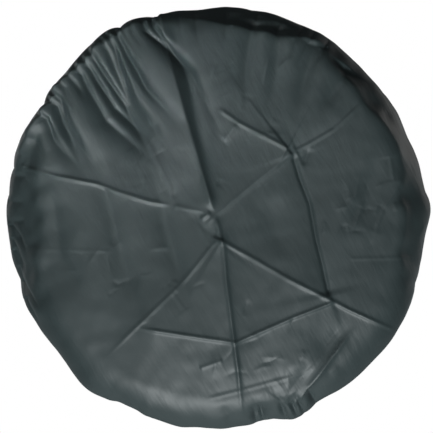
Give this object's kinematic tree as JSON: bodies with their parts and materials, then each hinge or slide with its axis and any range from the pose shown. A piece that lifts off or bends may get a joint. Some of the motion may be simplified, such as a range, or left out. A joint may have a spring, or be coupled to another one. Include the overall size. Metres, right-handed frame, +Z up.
{
  "type": "spare tyre cover",
  "caption": "Soft satin cloth cover for a spare wheel, drawn in behind the tyre by an elastic cord in a hem tape and held by a sprung cord lock.",
  "frame": {"origin": "centre of the inside of the round front face, where the wheel's outer side rests", "axes": "+Y along the wheel's axle, from the front face towards the open back and the vehicle; +Z up; +X to the right when looking at the front face"},
  "size_m": [0.6979, 0.2577, 0.698],
  "materials": {
    "cover_cloth": "dark green-grey satin polyester with a soft sheen, coated inside",
    "hem_tape": "black woven binding tape",
    "thread": "dark grey polyester sewing thread",
    "shock_cord": "black braided sheath over a rubber core",
    "nickel": "nickel-plated",
    "lock_plastic": "fine moulded texture",
    "spring_steel": "bright drawn wire",
    "label_cloth": "blank woven satin label"
  },
  "bodies": {
    "cover": {"cover_shell": "cover_cloth", "hem_tape": "hem_tape", "hem_thread_inner": "thread", "hem_thread_outer": "thread", "hem_cord": "shock_cord", "exit_patch": "hem_tape", "patch_thread": "thread", "eyelet_left": "nickel", "eyelet_right": "nickel", "eyelet_washer_left": "nickel", "eyelet_washer_right": "nickel", "care_label": "label_cloth", "label_thread": "thread"},
    "tails": {"cord_tail_left": "shock_cord", "cord_tail_right": "shock_cord", "cord_end_left": "lock_plastic", "cord_end_right": "lock_plastic"},
    "lock": {"lock_barrel": "lock_plastic", "lock_spring": "spring_steel"},
    "button": {"lock_button": "lock_plastic"}
  },
  "joints": [
    {"name": "tails_swing", "type": "hinge", "parent": "cover", "child": "tails", "pos_m": [0, 0.24475, -0.23801], "axis": [1, 0, 0], "range_deg": [0, 150]},
    {"name": "lock_slide", "type": "slide", "parent": "tails", "child": "lock", "axis": [0, 0, -1], "range_m": [-0.018, 0.048], "stiffness_N_per_m": 25},
    {"name": "button_press", "type": "slide", "parent": "lock", "child": "button", "axis": [0, -1, 0], "range_m": [0, 0.0035], "stiffness_N_per_m": 800, "springref_m": -0.004, "deforming": ["lock_spring"]}
  ]
}
